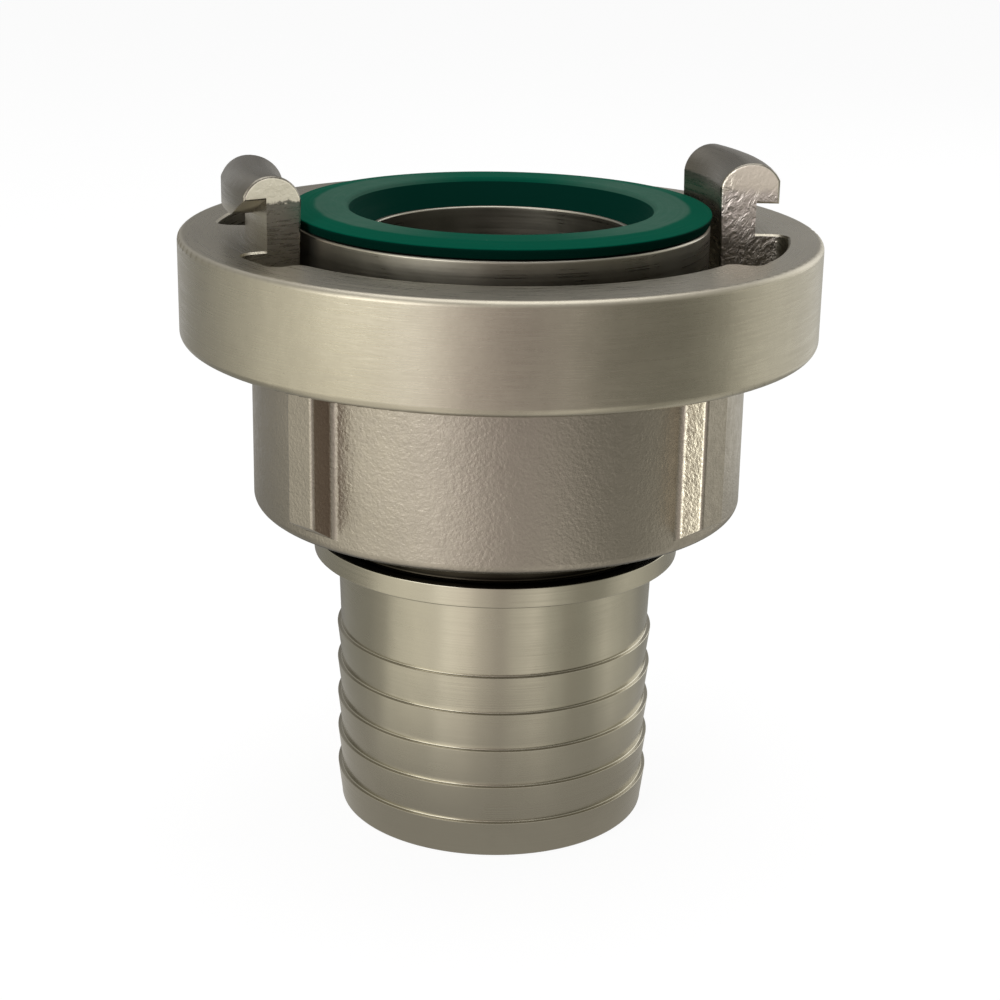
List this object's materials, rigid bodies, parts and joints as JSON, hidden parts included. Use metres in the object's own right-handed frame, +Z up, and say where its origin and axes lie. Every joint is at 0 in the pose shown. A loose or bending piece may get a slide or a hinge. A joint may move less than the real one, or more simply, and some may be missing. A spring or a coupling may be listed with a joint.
{
  "type": "quarter turn two-lug hose coupling",
  "caption": "Stainless quarter turn hose coupling: a swivelling cast ring with hooked lugs and ramped lips, a barbed tail and a green rubber face seal.",
  "frame": {"origin": "centre of the hose tail's lower end", "axes": "+Z up the waterway to the seal face, +X through the first lug's trailing face, +Y to the back"},
  "size_m": [0.0986, 0.0986, 0.1051],
  "materials": {
    "cast_steel": "satin cast stainless steel, brushed on the rim and grainy on the skirt",
    "turned_steel": "turned stainless steel",
    "green_rubber": "smooth green elastomer",
    "spring_wire": "bright spring wire"
  },
  "bodies": {
    "tail_body": {"hose_tail": "turned_steel", "face_seal": "green_rubber", "snap_ring": "spring_wire"},
    "ring_body": {"lug_ring": "cast_steel"}
  },
  "joints": [
    {"name": "ring_swivel", "type": "hinge", "parent": "tail_body", "child": "ring_body", "pos_m": [0, 0, 0.065], "axis": [0, 0, 1], "continuous": true}
  ]
}
